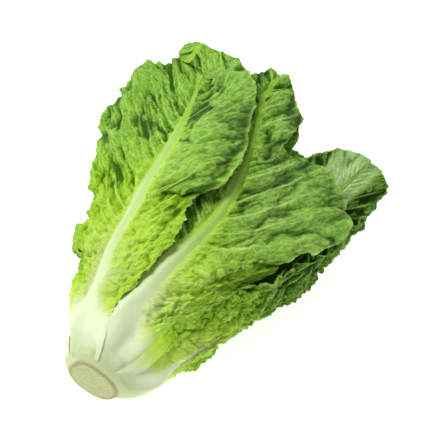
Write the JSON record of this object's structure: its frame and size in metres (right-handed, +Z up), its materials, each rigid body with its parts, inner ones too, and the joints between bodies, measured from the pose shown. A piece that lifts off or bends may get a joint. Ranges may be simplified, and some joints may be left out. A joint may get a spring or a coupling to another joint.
{
  "type": "romaine lettuce head",
  "caption": "Head of romaine lettuce lying on its side: long upright leaves with thick pale ribs, packed round a short stem that is cut square across.",
  "frame": {"origin": "on the surface that the head lies on, under the middle of its bounding box", "axes": "+Y along the head from the cut stem to the leaf tips, +Z up from the surface, +X to the right when the tips point away"},
  "size_m": [0.21, 0.265, 0.0954],
  "materials": {
    "leaf": "soft waxy leaf, pale at the rib and darker green to the margin",
    "stem": "moist pale flesh with a tan cut face"
  },
  "bodies": {
    "root": {"leaf_01": "leaf", "leaf_02": "leaf", "leaf_03": "leaf", "leaf_04": "leaf", "leaf_05": "leaf", "leaf_06": "leaf", "leaf_07": "leaf", "leaf_08": "leaf", "leaf_09": "leaf", "leaf_10": "leaf", "leaf_11": "leaf", "leaf_12": "leaf", "leaf_13": "leaf", "leaf_14": "leaf", "leaf_15": "leaf", "leaf_16": "leaf", "leaf_17": "leaf", "leaf_18": "leaf", "leaf_19": "leaf", "leaf_20": "leaf", "stem": "stem"}
  },
  "joints": []
}
